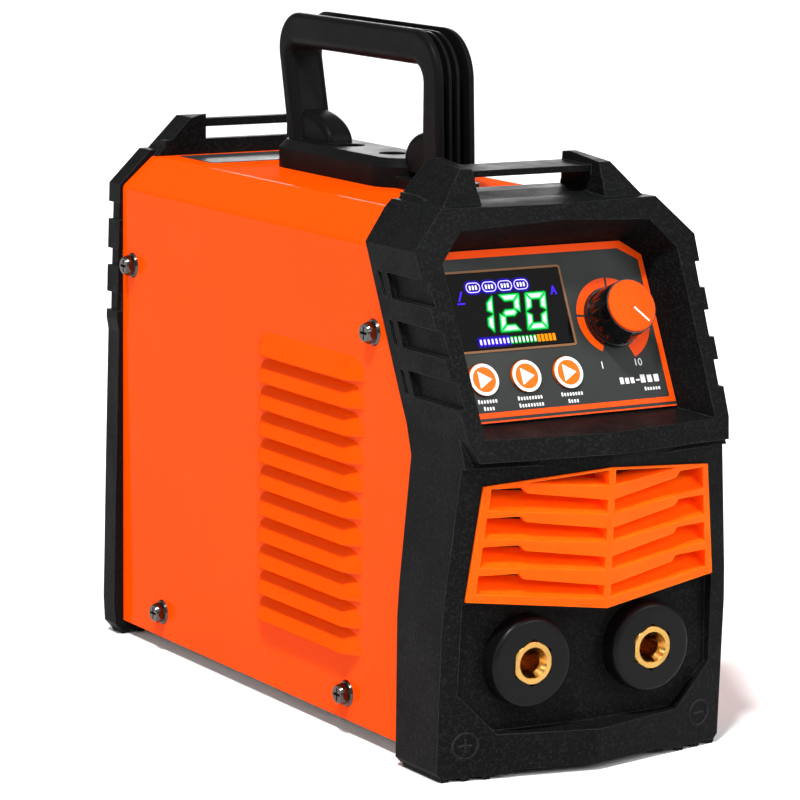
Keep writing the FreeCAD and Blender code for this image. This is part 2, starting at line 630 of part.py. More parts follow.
def handle():
    points, radii = handle_profile(0)
    loop = rounded_prism(points, radii, 2 * HANDLE_HALF, along_x(-HANDLE_HALF))
    window = [(-28.2, 200), (-28.2, 266.5), (83.0, 266.5), (65.7, 200)]
    hole = rounded_prism(window, [0, 7.5, 4, 0], 2 * HANDLE_HALF + 4, along_x(-HANDLE_HALF - 2))
    loop = loop.cut(hole)
    inner = [e for e in loop.Edges if is_window_edge(e)]
    loop = loop.makeFillet(4.2, inner)
    outer = [e for e in loop.Edges if is_outer_edge(e)]
    loop = loop.makeFillet(2.2, outer)
    for x0, x1, sink in ((-6.2, -2.5, 8.0), (-2.5, 2.5, 1.3), (-1.3, 1.3, 8.0), (2.5, 6.2, 8.0)):
        points, radii = handle_profile(sink)
        points[0] = (points[0][0], 200)
        points[3] = (points[3][0], 200)
        band = rounded_prism(points, radii, x1 - x0, along_x(x0))
        block = box(x0, x1, -60, 110, 220.5, 300)
        loop = loop.cut(block.cut(band))

    plan = [(BASE_HALF, 89.0), (BASE_HALF, -16.0), (-BASE_HALF, -16.0), (-BASE_HALF, 89.0)]
    base = rounded_prism(plan, [BASE_HALF - 0.1] * 4, BASE_TOP - CASE_TOP, along_z(CASE_TOP))
    base = base.makeChamfer(3.4, [e for e in base.Edges if e.BoundBox.ZMin > BASE_TOP - 0.1])
    toe = rounded_prism([(10.6, 0), (10.6, -47), (-10.6, -47), (-10.6, 0)], [0, 5, 5, 0], 4.5, along_z(CASE_TOP))
    gussets = [gusset(76.5, -25.5, 12.5, 2.5), gusset(-28.2, 17.5, 12.3, -4.0)]
    solid = base.fuse([toe, loop.common(box(-20, 20, -60, 110, CASE_TOP, 300))] + gussets).removeSplitter()
    tools = []
    for y in HANDLE_SCREWS:
        tools.append(cylinder(V(0, y, 221.5), Z_AXIS, 6.0, 12))
        tools.append(cylinder(V(0, y, 210), Z_AXIS, 2.7, 15))
    return solid.cut(tools)


def is_window_edge(edge):
    """Edges of the loop's inner side, on both faces."""
    box_ = edge.BoundBox
    flat = abs(abs(box_.XMin) - HANDLE_HALF) < 0.01 and abs(box_.XMax - box_.XMin) < 0.01
    inside = box_.YMin > -29 and box_.YMax < 84 and box_.ZMax < 266.6
    return flat and inside and box_.ZMax > 217


def is_outer_edge(edge):
    box_ = edge.BoundBox
    flat = abs(abs(box_.XMin) - HANDLE_HALF) < 0.01 and abs(box_.XMax - box_.XMin) < 0.01
    outside = box_.YMin < -40 or box_.YMax > 83 or box_.ZMax > 281
    return flat and outside and box_.ZMax > 217


def handle_screw(y):
    head = cylinder(V(0, y, 221.5), Z_AXIS, 4.6, 3.2)
    head = head.makeFillet(1.0, [e for e in head.Edges if e.CenterOfMass.z > 224])
    slots = [box(-2.6, 2.6, y - 0.6, y + 0.6, 223.4, 226), box(-0.6, 0.6, y - 2.6, y + 2.6, 223.4, 226)]
    return fuse([head, cylinder(V(0, y, 206), Z_AXIS, 2.5, 17)]).cut(slots)


def handle_nut(y):
    nut = hexagon(V(0, y, CASE_TOP - SHEET - 4.2), Z_AXIS, 8.0, 4.2)
    return nut.cut(cylinder(V(0, y, 200), Z_AXIS, 2.5, 20))


# ---------------------------------------------------------------- rear moulding and its fittings
REAR_EDGE = [(61.0, 1.6), (64.0, 5.0), (64.6, 15.5), (63.3, 82.5), (62.0, 137.5), (62.9, 143.0), (61.4, 203.0),
             (46.4, 217.5)]
REAR_NOTCHES = ((187.0, 194.6), (166.5, 174.0), (146.6, 154.6))


def rear_width(z):
    (x0, z0), (x1, z1) = REAR_EDGE[5], REAR_EDGE[6]
    return x0 + (x1 - x0) * (z - z0) / (z1 - z0)


def fan_openings():
    tools = []
    for inner, outer in ((14.0, 19.0), (22.0, 27.0), (30.0, 35.0), (38.0, 43.0)):
        ring = cylinder(V(0, 140, FAN_Z), Y_AXIS, outer, 12).cut(cylinder(V(0, 139, FAN_Z), Y_AXIS, inner, 14))
        tools.append(ring)
    spokes = []
    for i in range(6):
        spoke = box(-1.6, 1.6, 138, 154, 0, 46)
        spoke.rotate(ORIGIN, Y_AXIS, i * 60)
        spoke.translate(V(0, 0, FAN_Z))
        spokes.append(spoke)
    return [ring.cut(spokes) for ring in tools]


def fan_screw_places():
    reach = FAN_SIDE / 2 - 4.9
    return [(sx * reach, FAN_Z + sz * reach) for sx in (-1, 1) for sz in (-1, 1)]


def rear_moulding():
    outline = [(0, 3.0), (34, 3.0), (37.5, 1.6)] + REAR_EDGE + [(0, 217.5)]
    half = prism_y(outline, CASE_REAR, RIM_REAR)
    prong = prism_y([(20.5, CASE_TOP), (45.0, CASE_TOP), (41.5, 218.2), (28.0, 231.4), (20.5, 232.9)], TOP_FRONT, RIM_REAR)
    flare = prism_z([(0, TOP_FRONT - 1), (20.5, TOP_FRONT - 1), (20.5, TOP_FRONT), (28.8, RIM_REAR + 1), (0, RIM_REAR + 1)],
                    200, 240)
    sill = prism_x([(TOP_FRONT, CASE_TOP), (TOP_FRONT, 221.8), (TOP_FRONT + 4, 221.8), (RIM_REAR, 219.0),
                    (RIM_REAR, CASE_TOP)], 0, 41)
    half = half.fuse([prong.cut(flare), sill, box(0, 23.5, TOP_FRONT, TOP_FRONT + 4.5, 227.2, 230.8)])
    sunk = [(0, 8.0), (58.0, 8.0), (59.5, 15.5), (58.4, 82.5), (57.2, 137.5), (57.0, 201.0), (44.0, 212.5), (0, 212.5)]
    tools = [prism_y(sunk, WALL_REAR, RIM_REAR + 5),
             cover_bar(SHEET + 1.2, CASE_REAR - 5, WALL_FRONT).common(box(-1, 90, 0, 200, 9.0, 230))]
    for z0, z1 in REAR_NOTCHES:
        tools.append(prism_y(side_notch(z0, z1, 2.2, rear_width), CASE_REAR + 0.01, RIM_REAR + 5))
    tab = box(56.4, 58.8, 123, 142, 160, 176).cut(cylinder(V(50, SCREWS[1][0], SCREWS[1][1]), X_AXIS, 2.05, 12))
    half = half.cut(tools).fuse([tab, box(56.0, 58.8, CASE_REAR, 145.5, 160, 176)])
    half = half.fuse(foot_ridges(lambda x: CASE_REAR, RIM_REAR - 1, (43.0, 51.0, 59.0)))
    solid = whole(half)
    sx, sz = SWITCH_CENTRE.x, SWITCH_CENTRE.z
    holes = fan_openings() + [
        box(sx - 11.1, sx + 11.1, 130, 160, sz - 15.1, sz + 15.1),
        cylinder(V(GLAND_CENTRE.x, 130, GLAND_CENTRE.z), Y_AXIS, 8.1, 30),
    ]
    for x, z in fan_screw_places():
        holes.append(cylinder(V(x, 130, z), Y_AXIS, 2.3, 30))
    return solid.cut(holes)


def fan_frame():
    half = FAN_SIDE / 2
    front = FAN_REAR - FAN_DEPTH
    square = [(-half, FAN_Z - half), (half, FAN_Z - half), (half, FAN_Z + half), (-half, FAN_Z + half)]
    block = rounded_prism(square, [4.0] * 4, FAN_DEPTH, along_y(FAN_REAR))
    waist = rounded_prism(square, [4.0] * 4, FAN_DEPTH - 8, along_y(FAN_REAR - 4))
    waist = waist.cut(cylinder(V(0, front, FAN_Z), Y_AXIS, half + 1.5, FAN_DEPTH))
    block = block.cut([cylinder(V(0, front - 1, FAN_Z), Y_AXIS, half - 1.6, FAN_DEPTH + 2), waist])
    hub = cylinder(V(0, front, FAN_Z), Y_AXIS, 17.0, 2.6)
    arms = []
    for i in range(4):
        arm = box(-2, 2, front, front + 2.6, 10, half - 0.5)
        arm.rotate(ORIGIN, Y_AXIS, 45 + 90 * i)
        arm.translate(V(0, 0, FAN_Z))
        arms.append(arm)
    solid = block.fuse([hub] + arms).removeSplitter()
    holes = [cylinder(V(x, front - 1, z), Y_AXIS, 2.0, FAN_DEPTH + 2) for x, z in fan_screw_places()]
    axle = cylinder(V(0, front - 1, FAN_Z), Y_AXIS, 2.0, 6)
    return solid.cut(holes + [axle])


def fan_rotor():
    """Hub, axle and seven raked blades."""
    front = FAN_REAR - FAN_DEPTH
    hub = cylinder(V(0, front + 3.6, FAN_Z), Y_AXIS, 18.0, 19.0)
    hub = hub.makeFillet(1.5, [e for e in hub.Edges if e.CenterOfMass.y > front + 20])
    axle = cylinder(V(0, front + 0.4, FAN_Z), Y_AXIS, 1.95, 5)
    blades = []
    for i in range(7):
        blade = box(-11.5, 11.5, -0.8, 0.8, 16.5, 43.2)
        blade.rotate(ORIGIN, Z_AXIS, 38)
        blade.translate(V(0, front + 13.1, 0))
        blade.rotate(ORIGIN, Y_AXIS, i * 360.0 / 7)
        blade.translate(V(0, 0, FAN_Z))
        blades.append(blade)
    sweep = cylinder(V(0, front + 4.2, FAN_Z), Y_AXIS, 43.2, 18)
    return hub.fuse([axle] + [b.common(sweep) for b in blades]).removeSplitter()


def fan_screws():
    parts = []
    for x, z in fan_screw_places():
        head = cylinder(V(x, WALL_REAR, z), Y_AXIS, 3.8, 2.2)
        head = head.makeFillet(0.9, [e for e in head.Edges if e.CenterOfMass.y > WALL_REAR + 2])
        slots = [box(x - 2.2, x + 2.2, WALL_REAR + 1.0, 155, z - 0.5, z + 0.5),
                 box(x - 0.5, x + 0.5, WALL_REAR + 1.0, 155, z - 2.2, z + 2.2)]
        parts.append(fuse([head, cylinder(V(x, WALL_REAR - 16, z), Y_AXIS, 1.9, 17)]).cut(slots))
    return Part.makeCompound(parts)


ROCKER_PIVOT = V(SWITCH_CENTRE.x, WALL_REAR + 0.5, SWITCH_CENTRE.z)
ROCKER_TILT = 9.0


def power_switch_body():
    x, z = SWITCH_CENTRE.x, SWITCH_CENTRE.z
    body = box(x - 11, x + 11, 122, WALL_REAR, z - 15, z + 15)
    bezel = box(x - 12.6, x + 12.6, WALL_REAR, WALL_REAR + 2.2, z - 16.6, z + 16.6)
    bezel = bezel.makeChamfer(0.8, [e for e in bezel.Edges if e.BoundBox.YMin > WALL_REAR + 2])
    hollow = box(x - 8.6, x + 8.6, WALL_REAR - 7, WALL_REAR + 5, z - 13.4, z + 13.4)
    pivot = cylinder(V(x - 9.4, ROCKER_PIVOT.y, z), X_AXIS, 1.25, 0.8)
    pivots = [pivot, cylinder(V(x + 8.6, ROCKER_PIVOT.y, z), X_AXIS, 1.25, 0.8)]
    blades = [box(x - 3.2 + dx, x - 2.4 + dx, 112, 122, z - 10 + dz, z - 4 + dz) for dx in (-3, 9) for dz in (0, 14)]
    return fuse([body, bezel] + blades).cut([hollow] + pivots)


def power_rocker():
    """Rocker with a hollowed face, resting tipped with its upper end out."""
    x, z = SWITCH_CENTRE.x, SWITCH_CENTRE.z
    y = ROCKER_PIVOT.y
    side = [(y - 4.6, z), (y + 1.0, z - 12.3), (y + 4.6, z - 12.4), (y + 2.9, z), (y + 4.6, z + 12.4), (y + 1.0, z + 12.3)]
    body = prism_x(side, x - 8.2, x + 8.2)
    pins = [cylinder(V(x - 9.2, y, z), X_AXIS, 1.2, 18.4)]
    solid = fuse([body] + pins)
    solid.rotate(ROCKER_PIVOT, X_AXIS, -ROCKER_TILT)
    return solid


def cable_gland():
    """Threaded gland body through the rear panel with a domed clamping cap; no lead fitted."""
    x, z = GLAND_CENTRE.x, GLAND_CENTRE.z
    thread = cylinder(V(x, 134, z), Y_AXIS, 8.0, 14)
    collar = hexagon(V(x, WALL_REAR, z), Y_AXIS, 20.0, 4.0)
    neck = cylinder(V(x, WALL_REAR + 4, z), Y_AXIS, 7.4, 1.2)
    solid = fuse([thread, collar, neck])
    return solid.cut(cylinder(V(x, 130, z), Y_AXIS, 4.6, 40))


def gland_cap():
    x, z = GLAND_CENTRE.x, GLAND_CENTRE.z
    hexa = hexagon(V(x, WALL_REAR + 5.2, z), Y_AXIS, 19.0, 5.5)
    dome = cone(V(x, WALL_REAR + 10.7, z), Y_AXIS, 9.3, 6.4, 5.462)
    return fuse([hexa, dome]).cut(cylinder(V(x, 130, z), Y_AXIS, 4.2, 40))


def gland_nut():
    x, z = GLAND_CENTRE.x, GLAND_CENTRE.z
    nut = hexagon(V(x, WALL_FRONT - 5, z), Y_AXIS, 22.0, 5.0)
    return nut.cut(cylinder(V(x, 130, z), Y_AXIS, 8.0, 20))


# ---------------------------------------------------------------- chassis and electronics
BOARD_Z = 30.0
STANDOFFS = [(sx * 46.0, y) for sx in (-1, 1) for y in (-88.0, 10.0, 104.0)]


def chassis_base():
    """Folded tray: floor, side flanges that take the lower cover screws, end lips."""
    inner = CASE_HALF - SHEET
    floor = box(-inner, inner, -109, 139, CASE_BOTTOM, CASE_BOTTOM + 1.2)
    sides = [box(sx * inner - (1.2 if sx > 0 else 0), sx * inner + (0 if sx > 0 else 1.2), -109, 139, CASE_BOTTOM, 26)
             for sx in (-1, 1)]
    lips = [box(-50, 50, -109, -107.8, CASE_BOTTOM, 22), box(-50, 50, 116.5, 117.7, CASE_BOTTOM, 30)]
    solid = fuse([floor] + sides + lips)
    holes = []
    for y, z in SCREWS[2:]:
        holes.append(cylinder(V(-70, y, z), X_AXIS, 2.05, 140))
    for i in range(6):
        holes.append(rounded_prism([(-30, 0), (30, 0), (30, 5), (-30, 5)], [2.4] * 4, 10,
                                   FreeCAD.Placement(V(0, -60 + 14 * i, 0), FreeCAD.Rotation())))
    for x, y in STANDOFFS:
        holes.append(cylinder(V(x, y, 0), Z_AXIS, 1.6, 20))
    return solid.cut(holes)


def board_standoffs():
    floor = CASE_BOTTOM + 1.2
    return Part.makeCompound([hexagon(V(x, y, floor), Z_AXIS, 7.0, BOARD_Z - floor) for x, y in STANDOFFS])


def board_screws():
    parts = []
    for x, y in STANDOFFS:
        head = cylinder(V(x, y, BOARD_Z + 1.6), Z_AXIS, 3.0, 2.0)
        parts.append(head.makeFillet(0.8, [e for e in head.Edges if e.CenterOfMass.z > BOARD_Z + 3]))
    return Part.makeCompound(parts)


def power_board():
    return box(-52, 52, -96, 112, BOARD_Z, BOARD_Z + 1.6)


def heatsink(x_root, direction):
    """Finned extrusion standing on the board; its flat root faces the middle."""
    z0 = BOARD_Z + 1.6
    root = box(min(x_root, x_root + 4 * direction), max(x_root, x_root + 4 * direction), -15, 75, z0, z0 + 62)
    fins = []
    for i in range(9):
        z = z0 + 1.0 + i * 7.3
        fins.append(box(min(x_root, x_root + 22 * direction), max(x_root, x_root + 22 * direction), -15, 75, z, z + 1.8))
    return fuse([root] + fins)


def power_transistors():
    z0 = BOARD_Z + 12
    return Part.makeCompound([box(-20, -15, -8 + 20 * i, 8 + 20 * i, z0, z0 + 21) for i in range(4)])


def output_diodes():
    z0 = BOARD_Z + 12
    return Part.makeCompound([box(15, 20, -8 + 20 * i, 8 + 20 * i, z0, z0 + 21) for i in range(4)])


def bridge_rectifier():
    block = box(-19.6, -12.6, -4, 24, BOARD_Z + 38, BOARD_Z + 60)
    return block.cut(cylinder(V(-30, 10, BOARD_Z + 49), X_AXIS, 2.4, 30))


def bus_capacitors():
    parts = []
    for x in (-30, 0, 30):
        can = cylinder(V(x, 92, BOARD_Z + 1.6), Z_AXIS, 14.5, 48)
        parts.append(can.makeFillet(1.2, [e for e in can.Edges if e.CenterOfMass.z > BOARD_Z + 40]))
    return Part.makeCompound(parts)


TRANSFORMER = V(17.0, -52.0, BOARD_Z + 1.6)


def transformer_core():
    x, y, z = TRANSFORMER.x, TRANSFORMER.y, TRANSFORMER.z
    block = box(x - 27, x + 27, y - 13, y + 13, z + 4, z + 58)
    windows = [box(x - 19, x - 9, y - 14, y + 14, z + 13, z + 49), box(x + 9, x + 19, y - 14, y + 14, z + 13, z + 49)]
    return block.cut(windows)


def transformer_winding():
    x, y, z = TRANSFORMER.x, TRANSFORMER.y, TRANSFORMER.z
    outer = rounded_prism([(x - 18.6, y - 22), (x + 18.6, y - 22), (x + 18.6, y + 22), (x - 18.6, y + 22)], [8] * 4, 34,
                          along_z(z + 14))
    return outer.cut(box(x - 9, x + 9, y - 13, y + 13, z, z + 60))


def transformer_feet():
    x, y, z = TRANSFORMER.x, TRANSFORMER.y, TRANSFORMER.z
    return Part.makeCompound([box(x - 27, x - 19, y - 13, y + 13, z, z + 4), box(x + 19, x + 27, y - 13, y + 13, z, z + 4)])


def output_choke():
    ring = Part.makeTorus(14.0, 7.0, V(-32, -55, BOARD_Z + 24), Y_AXIS)
    return ring


def choke_cradle():
    z0 = BOARD_Z + 1.6
    return box(-46, -18, -63, -47, z0, z0 + 6).cut(Part.makeTorus(14.0, 7.0, V(-32, -55, BOARD_Z + 24), Y_AXIS))


def top_label():
    return box(-36, 36, 101, 131, CASE_TOP, CASE_TOP + 0.3)


# ---------------------------------------------------------------- build
def build():
    nodes = {
        "casing_cover": casing_cover(),
        "casing_screws": Part.makeCompound([s for y, z in SCREWS for s in (casing_screw(y, z), mirror(casing_screw(y, z)))]),
        "front_moulding": front_moulding(),
        "front_grille": front_grille(),
        "control_overlay": control_overlay(),
        "display_window": display_window(),
        "display_module": display_module(),
        "control_board": control_board(),
        "tact_switches": tact_switches(),
        "potentiometer": potentiometer(),
        "potentiometer_nut": potentiometer_nut(),
        "potentiometer_shaft": potentiometer_shaft(),
        "knob_body": knob_body(),
        "knob_cap": knob_cap(),
        "knob_pointer": knob_pointer(),
        "positive_socket_body": socket_body(-SOCKET_X),
        "negative_socket_body": socket_body(SOCKET_X),
        "positive_socket_insert": socket_insert(-SOCKET_X),
        "negative_socket_insert": socket_insert(SOCKET_X),
        "socket_nuts": socket_nuts(),
        "positive_output_bar": output_bar(-SOCKET_X),
        "negative_output_bar": output_bar(SOCKET_X),
        "handle": handle(),
        "handle_screws": Part.makeCompound([handle_screw(y) for y in HANDLE_SCREWS]),
        "handle_nuts": Part.makeCompound([handle_nut(y) for y in HANDLE_SCREWS]),
        "rear_moulding": rear_moulding(),
        "fan_frame": fan_frame(),
        "fan_rotor": fan_rotor(),
        "fan_screws": fan_screws(),
        "power_switch_body": power_switch_body(),
        "power_rocker": power_rocker(),
        "cable_gland": cable_gland(),
        "gland_cap": gland_cap(),
        "gland_nut": gland_nut(),
        "chassis_base": chassis_base(),
        "board_standoffs": board_standoffs(),
        "board_screws": board_screws(),
        "power_board": power_board(),
        "transistor_heatsink": heatsink(-20, -1),
        "diode_heatsink": heatsink(20, 1),
        "power_transistors": power_transistors(),
        "output_diodes": output_diodes(),
        "bridge_rectifier": bridge_rectifier(),
        "bus_capacitors": bus_capacitors(),
        "transformer_core": transformer_core(),
        "transformer_winding": transformer_winding(),
        "transformer_feet": transformer_feet(),
        "output_choke": output_choke(),
        "choke_cradle": choke_cradle(),
        "top_label": top_label(),
    }
    for x, name in zip(BUTTON_X, BUTTON_NAMES):
        nodes["%s_button" % name] = button(x)
    return nodes


os.makedirs("parts", exist_ok=True)
for node, solid in build().items():
    export(node, solid)
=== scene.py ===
import json
import math

import bpy
from mathutils import Matrix, Vector


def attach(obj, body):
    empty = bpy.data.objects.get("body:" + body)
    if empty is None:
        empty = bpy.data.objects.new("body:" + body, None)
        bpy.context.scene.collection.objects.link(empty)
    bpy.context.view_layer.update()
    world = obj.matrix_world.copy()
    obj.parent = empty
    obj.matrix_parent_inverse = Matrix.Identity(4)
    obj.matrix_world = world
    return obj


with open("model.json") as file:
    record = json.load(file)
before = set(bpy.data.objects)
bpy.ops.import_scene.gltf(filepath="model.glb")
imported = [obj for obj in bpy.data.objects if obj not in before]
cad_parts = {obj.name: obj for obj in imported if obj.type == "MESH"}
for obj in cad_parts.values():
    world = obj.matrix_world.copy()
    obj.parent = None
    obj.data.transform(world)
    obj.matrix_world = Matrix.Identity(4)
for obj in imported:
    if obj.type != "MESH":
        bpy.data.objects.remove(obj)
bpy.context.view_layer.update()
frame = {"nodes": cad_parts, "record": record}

MM = 0.001
record = frame["record"]
nodes = frame["nodes"]
joints = {j["name"]: j for j in record["behaviour"]["joints"]}


# ------------------------------------------------------------------ control panel's own frame
# On the panel x runs across, y runs up its slope from the middle of its lower edge, z stands out.
KNOB_AT = (28.0, 38.4)                                   # knob centre in panel millimetres
knob_point = Vector(joints["current_knob_turn"]["pos_m"])
OUT = Vector(joints["current_knob_turn"]["axis"]).normalized()
ACROSS = Vector((1, 0, 0))
UP = OUT.cross(ACROSS).normalized()
PANEL = Matrix((ACROSS, UP, OUT)).transposed().to_4x4()
PANEL.translation = knob_point - ACROSS * KNOB_AT[0] * MM - UP * KNOB_AT[1] * MM
WINDOW_TOP = 0.3                                         # the display window stands this proud
KEY_TOP = 1.2                                            # and the keys this proud


def on_panel(node):
    """Middle of a CAD node on the panel, in its millimetres."""
    obj = nodes[node]
    corners = [PANEL.inverted() @ obj.matrix_world @ Vector(c) / MM for c in obj.bound_box]
    return sum(c.x for c in corners) / 8, sum(c.y for c in corners) / 8


KEYS = {name + "_key": on_panel(name + "_button") for name in ("mode", "electrode", "function")}


# ------------------------------------------------------------------ node material helpers
class Mat:
    """A Principled material with short names for the nodes it is built from."""

    def __init__(self, name, color, rough=0.5, metallic=0.0, coat=0.0, coat_rough=0.1, specular=0.5):
        self.mat = bpy.data.materials.new(name)
        self.mat.use_nodes = True
        self.nt = self.mat.node_tree
        self.bsdf = self.nt.nodes["Principled BSDF"]
        self.bsdf.inputs["Base Color"].default_value = (*color, 1)
        self.bsdf.inputs["Roughness"].default_value = rough
        self.bsdf.inputs["Metallic"].default_value = metallic
        self.bsdf.inputs["Coat Weight"].default_value = coat
        self.bsdf.inputs["Coat Roughness"].default_value = coat_rough
        self.bsdf.inputs["Specular IOR Level"].default_value = specular
        self.mat.diffuse_color = (*color, 1)
        coords = self.node("ShaderNodeTexCoord")
        self.object = coords.outputs["Object"]

    def node(self, kind, **settings):
        made = self.nt.nodes.new(kind)
        for key, value in settings.items():
            setattr(made, key, value)
        return made

    def link(self, a, b):
        self.nt.links.new(a, b)

    def noise(self, scale, detail=4.0, rough=0.55, stretch=(1, 1, 1)):
        mapping = self.node("ShaderNodeMapping")
        mapping.inputs["Scale"].default_value = stretch
        self.link(self.object, mapping.inputs["Vector"])
        tex = self.node("ShaderNodeTexNoise")
        tex.inputs["Scale"].default_value = scale
        tex.inputs["Detail"].default_value = detail
        tex.inputs["Roughness"].default_value = rough
        self.link(mapping.outputs["Vector"], tex.inputs["Vector"])
        return tex.outputs["Fac"]

    def cells(self, scale):
        tex = self.node("ShaderNodeTexVoronoi")
        tex.inputs["Scale"].default_value = scale
        self.link(self.object, tex.inputs["Vector"])
        return tex.outputs["Distance"]

    def grey(self, fac, low, high, a=0.3, b=0.7):
        """Grey that goes from one level to another while the factor goes from a to b."""
        ramp = self.node("ShaderNodeValToRGB")
        for element, place, level in zip(ramp.color_ramp.elements, (a, b), (low, high)):
            element.position = place
            element.color = (level, level, level, 1)
        self.link(fac, ramp.inputs["Fac"])
        return ramp.outputs["Color"]

    def mix(self, fac, a, b):
        """Colour between a and b; each value is a number, a colour or a socket."""
        mix = self.node("ShaderNodeMix", data_type="RGBA")
        for socket, value in ((mix.inputs[0], fac), (mix.inputs[6], a), (mix.inputs[7], b)):
            if isinstance(value, (float, int)):
                socket.default_value = value
            elif isinstance(value, tuple):
                socket.default_value = (*value, 1)
            else:
                self.link(value, socket)
        return mix.outputs[2]

    def math(self, op, a, b):
        calc = self.node("ShaderNodeMath", operation=op)
        for socket, value in zip(calc.inputs, (a, b)):
            if isinstance(value, (float, int)):
                socket.default_value = value
            else:
                self.link(value, socket)
        return calc.outputs[0]

    def color(self, socket):
        self.link(socket, self.bsdf.inputs["Base Color"])

    def rough(self, socket):
        self.link(socket, self.bsdf.inputs["Roughness"])

    def soft_normal(self, radius):
        """Normal that rounds the edges by a radius in millimetres."""
        bevel = self.node("ShaderNodeBevel", samples=4)
        bevel.inputs["Radius"].default_value = radius * MM
        return bevel.outputs["Normal"]

    def edge_mask(self, normal):
        """How far a rounded normal leaves the true one: 0 on a flat, more at a corner."""
        geometry = self.node("ShaderNodeNewGeometry")
        dot = self.node("ShaderNodeVectorMath", operation="DOT_PRODUCT")
        self.link(normal, dot.inputs[0])
        self.link(geometry.outputs["Normal"], dot.inputs[1])
        return self.math("SUBTRACT", 1.0, dot.outputs["Value"])

    def bump(self, layers, normal=None):
        """Chain of (height, strength, distance in mm) bumps."""
        for height, strength, distance in layers:
            bump = self.node("ShaderNodeBump")
            bump.inputs["Strength"].default_value = strength
            bump.inputs["Distance"].default_value = distance * MM
            self.link(height, bump.inputs["Height"])
            if normal is not None:
                self.link(normal, bump.inputs["Normal"])
            normal = bump.outputs["Normal"]
        self.link(normal, self.bsdf.inputs["Normal"])


def moulded(name, color, grain=1500, rough=(0.42, 0.58), bump=0.35, edge_wear_and_highlight=(0.1, 0.1, 0.11), soft=0.5,
            specular=0.1, glint_speckle=0.0):
    """Injection-moulded plastic: spark-eroded grain with pale flecks painted as glints, faint rub marks, and
    corners painted paler as an edge highlight that the rub marks make stronger.
    """
    m = Mat(name, color, rough=rough[0], specular=specular)
    normal = m.soft_normal(soft)
    edge = m.edge_mask(normal)
    scuffs = m.noise(60, 6, 0.65)
    tone = m.mix(m.grey(m.noise(18, 3), 0.0, 1.0), color, tuple(c * 1.25 + 0.001 for c in color))
    # pale flecks painted into the colour as glints off the grain
    glint_flecks = m.grey(m.noise(grain * 0.7, 2), 0.0, glint_speckle, 0.5, 0.66)
    tone = m.mix(glint_flecks, tone, tuple(c * 4 + 0.004 for c in color))
    # painted edge highlight: every corner is at least partly paler, and more so where rub marks wear it
    wear_and_edge_highlight = m.math("MULTIPLY", m.grey(edge, 0.0, 1.0, 0.06, 0.3), m.grey(scuffs, 0.3, 0.9, 0.45, 0.68))
    m.color(m.mix(wear_and_edge_highlight, tone, edge_wear_and_highlight))
    m.rough(m.grey(scuffs, rough[0], rough[1], 0.35, 0.68))
    m.bump([(m.noise(grain, 2, 0.5), bump, 0.12), (m.cells(grain * 0.55), bump * 0.6, 0.08)], normal)
    return m.mat


def enamel(name, color):
    """Glossy stoved enamel: slight orange peel, faint dust film and fine scratches."""
    m = Mat(name, color, rough=0.32, coat=0.12, coat_rough=0.06, specular=0.0)
    normal = m.soft_normal(0.7)
    dust = m.noise(26, 5, 0.6)
    tone = m.mix(m.grey(m.noise(7, 2), 0.0, 1.0), color, tuple(c * 0.93 for c in color))
    m.color(m.mix(m.grey(dust, 0.0, 0.02, 0.52, 0.75), tone, (0.85, 0.3, 0.1)))
    scratch = m.noise(220, 3, 0.7, (0.06, 0.06, 1.6))
    m.rough(m.mix(m.grey(scratch, 0.0, 0.5, 0.62, 0.7), m.grey(dust, 0.2, 0.33), (0.42, 0.42, 0.42)))
    m.bump([(m.noise(330, 2, 0.5), 0.12, 0.1), (m.noise(14, 1), 0.05, 0.6)], normal)
    return m.mat


def metal(name, color, rough=(0.2, 0.35), grain=500, bump=0.1, tarnish=None, stretch=(1, 1, 1)):
    """Bare or plated metal: fine marks in the gloss and patches of tarnish."""
    m = Mat(name, color, rough=rough[0], metallic=1.0)
    normal = m.soft_normal(0.25)
    marks = m.noise(grain, 4, 0.6, stretch)
    stain = m.noise(90, 4, 0.6)
    m.color(m.mix(m.grey(stain, 0.0, 0.55, 0.42, 0.7), color, tarnish or tuple(c * 0.6 for c in color)))
    m.rough(m.grey(marks, rough[0], rough[1]))
    m.bump([(marks, bump, 0.05)], normal)
    return m.mat


def translucent_with_painted_glow(material, weight, depth):
    """Lets light through thin walls, and paints on a faint warm glow that lightens the shaded faces."""
    bsdf = material.node_tree.nodes["Principled BSDF"]
    bsdf.inputs["Subsurface Weight"].default_value = weight
    bsdf.inputs["Subsurface Radius"].default_value = (1.0, 0.15, 0.03)
    bsdf.inputs["Subsurface Scale"].default_value = depth * MM
    # painted glow: a faint red emission that lightens the shaded faces of the orange plastic
    bsdf.inputs["Emission Color"].default_value = (1.0, 0.03, 0.0, 1)
    bsdf.inputs["Emission Strength"].default_value = 0.16
    return material


def film(name, color, rough=0.3, grain=900, bump=0.05, specular=0.15):
    """Printed polyester film or a gloss moulding with a very fine surface."""
    m = Mat(name, color, rough=rough, specular=specular)
    smear = m.noise(45, 4, 0.6)
    m.color(m.mix(m.grey(smear, 0.0, 0.3), color, tuple(min(1, c * 1.25 + 0.0006) for c in color)))
    m.rough(m.grey(smear, rough * 0.8, rough * 1.25))
    m.bump([(m.noise(grain, 2), bump, 0.05)])
    return m.mat


def glow(name, color, strength):
    """Lit part of the display, a little uneven as over separate lamps."""
    m = Mat(name, tuple(c * 0.1 for c in color), rough=0.35, specular=0.0)
    m.bsdf.inputs["Emission Strength"].default_value = strength
    m.link(m.mix(m.grey(m.noise(900, 1), 0.0, 0.25), color, tuple(min(1, c * 1.3 + 0.05) for c in color)),
           m.bsdf.inputs["Emission Color"])
    return m.mat


